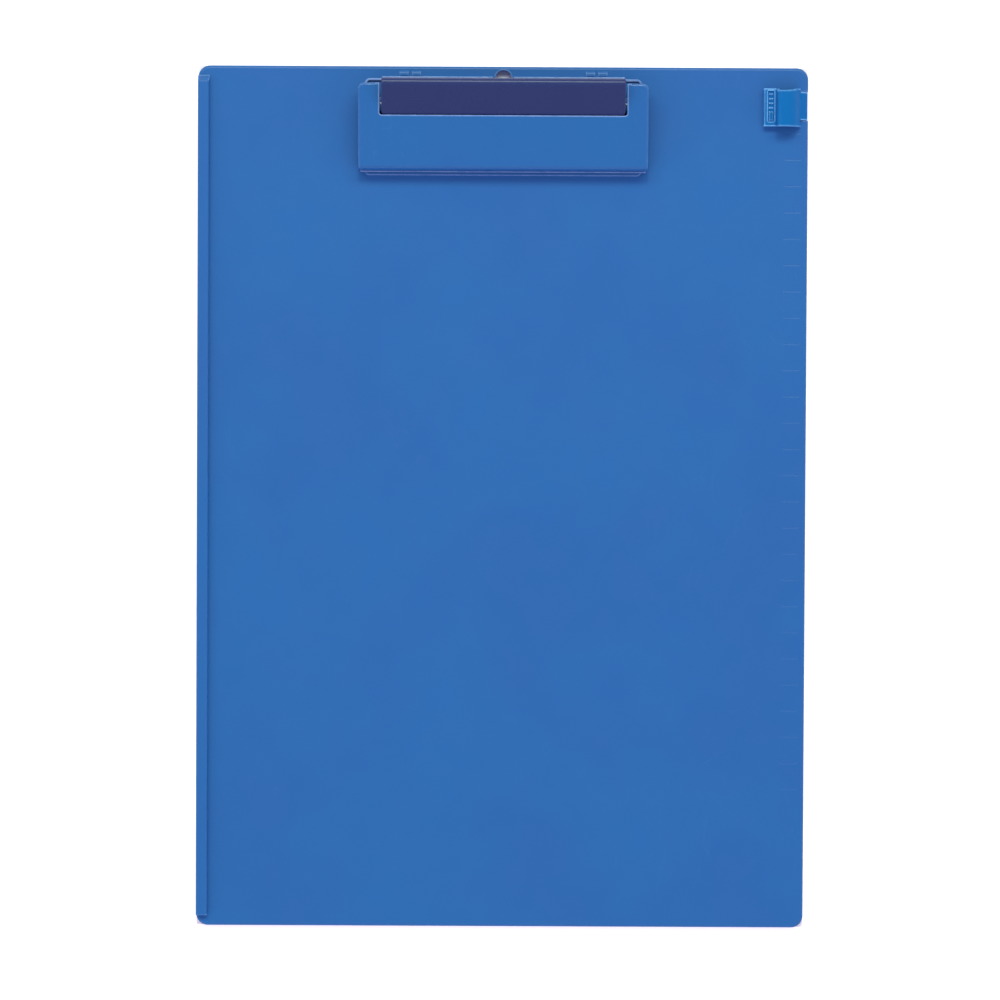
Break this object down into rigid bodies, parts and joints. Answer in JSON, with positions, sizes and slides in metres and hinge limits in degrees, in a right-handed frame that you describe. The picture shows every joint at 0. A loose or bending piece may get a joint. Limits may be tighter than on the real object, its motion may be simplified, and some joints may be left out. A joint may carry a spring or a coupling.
{
  "type": "clipboard",
  "caption": "Flat A4 clipboard: moulded board with a paper guide and a centimetre scale, a spring clip with a finger lever, a hanging hole and a hooked pen holder.",
  "frame": {"origin": "middle of the board's back, in the plane that it lies on", "axes": "+X to the board's right, +Y along it to the clip's end, +Z out of its face"},
  "size_m": [0.232, 0.328, 0.0205],
  "materials": {
    "board_plastic": "fine matt grain",
    "clip_plastic": "satin",
    "lever_plastic": "satin",
    "holder_plastic": "satin",
    "pin_steel": "drawn",
    "spring_steel": "zinc plated",
    "rivet_metal": "satin",
    "grip_rubber": "matt"
  },
  "bodies": {
    "board": {"board": "board_plastic", "clip_base": "clip_plastic", "hinge_pin": "pin_steel", "torsion_spring_right": "spring_steel", "torsion_spring_left": "spring_steel", "pin_clips": "spring_steel", "base_rivets": "rivet_metal", "rivet_washers": "rivet_metal"},
    "press": {"press_plate": "clip_plastic", "finger_lever": "lever_plastic", "grip_strip": "grip_rubber"},
    "pen_holder": {"pen_holder": "holder_plastic"}
  },
  "joints": [
    {"name": "clip_hinge", "type": "hinge", "parent": "board", "child": "press", "pos_m": [0, 0.1485, 0.0081], "axis": [-1, 0, 0], "range_deg": [0, 20], "stiffness_Nm_per_rad": 0.6, "springref_deg": -22.92, "deforming": ["torsion_spring_right", "torsion_spring_left"]},
    {"name": "pen_holder_flex", "type": "hinge", "parent": "board", "child": "pen_holder", "pos_m": [0.1151, 0.14885, 0.0008], "axis": [0, 1, 0], "range_deg": [0, 5], "stiffness_Nm_per_rad": 0.25, "springref_deg": -2.86}
  ]
}
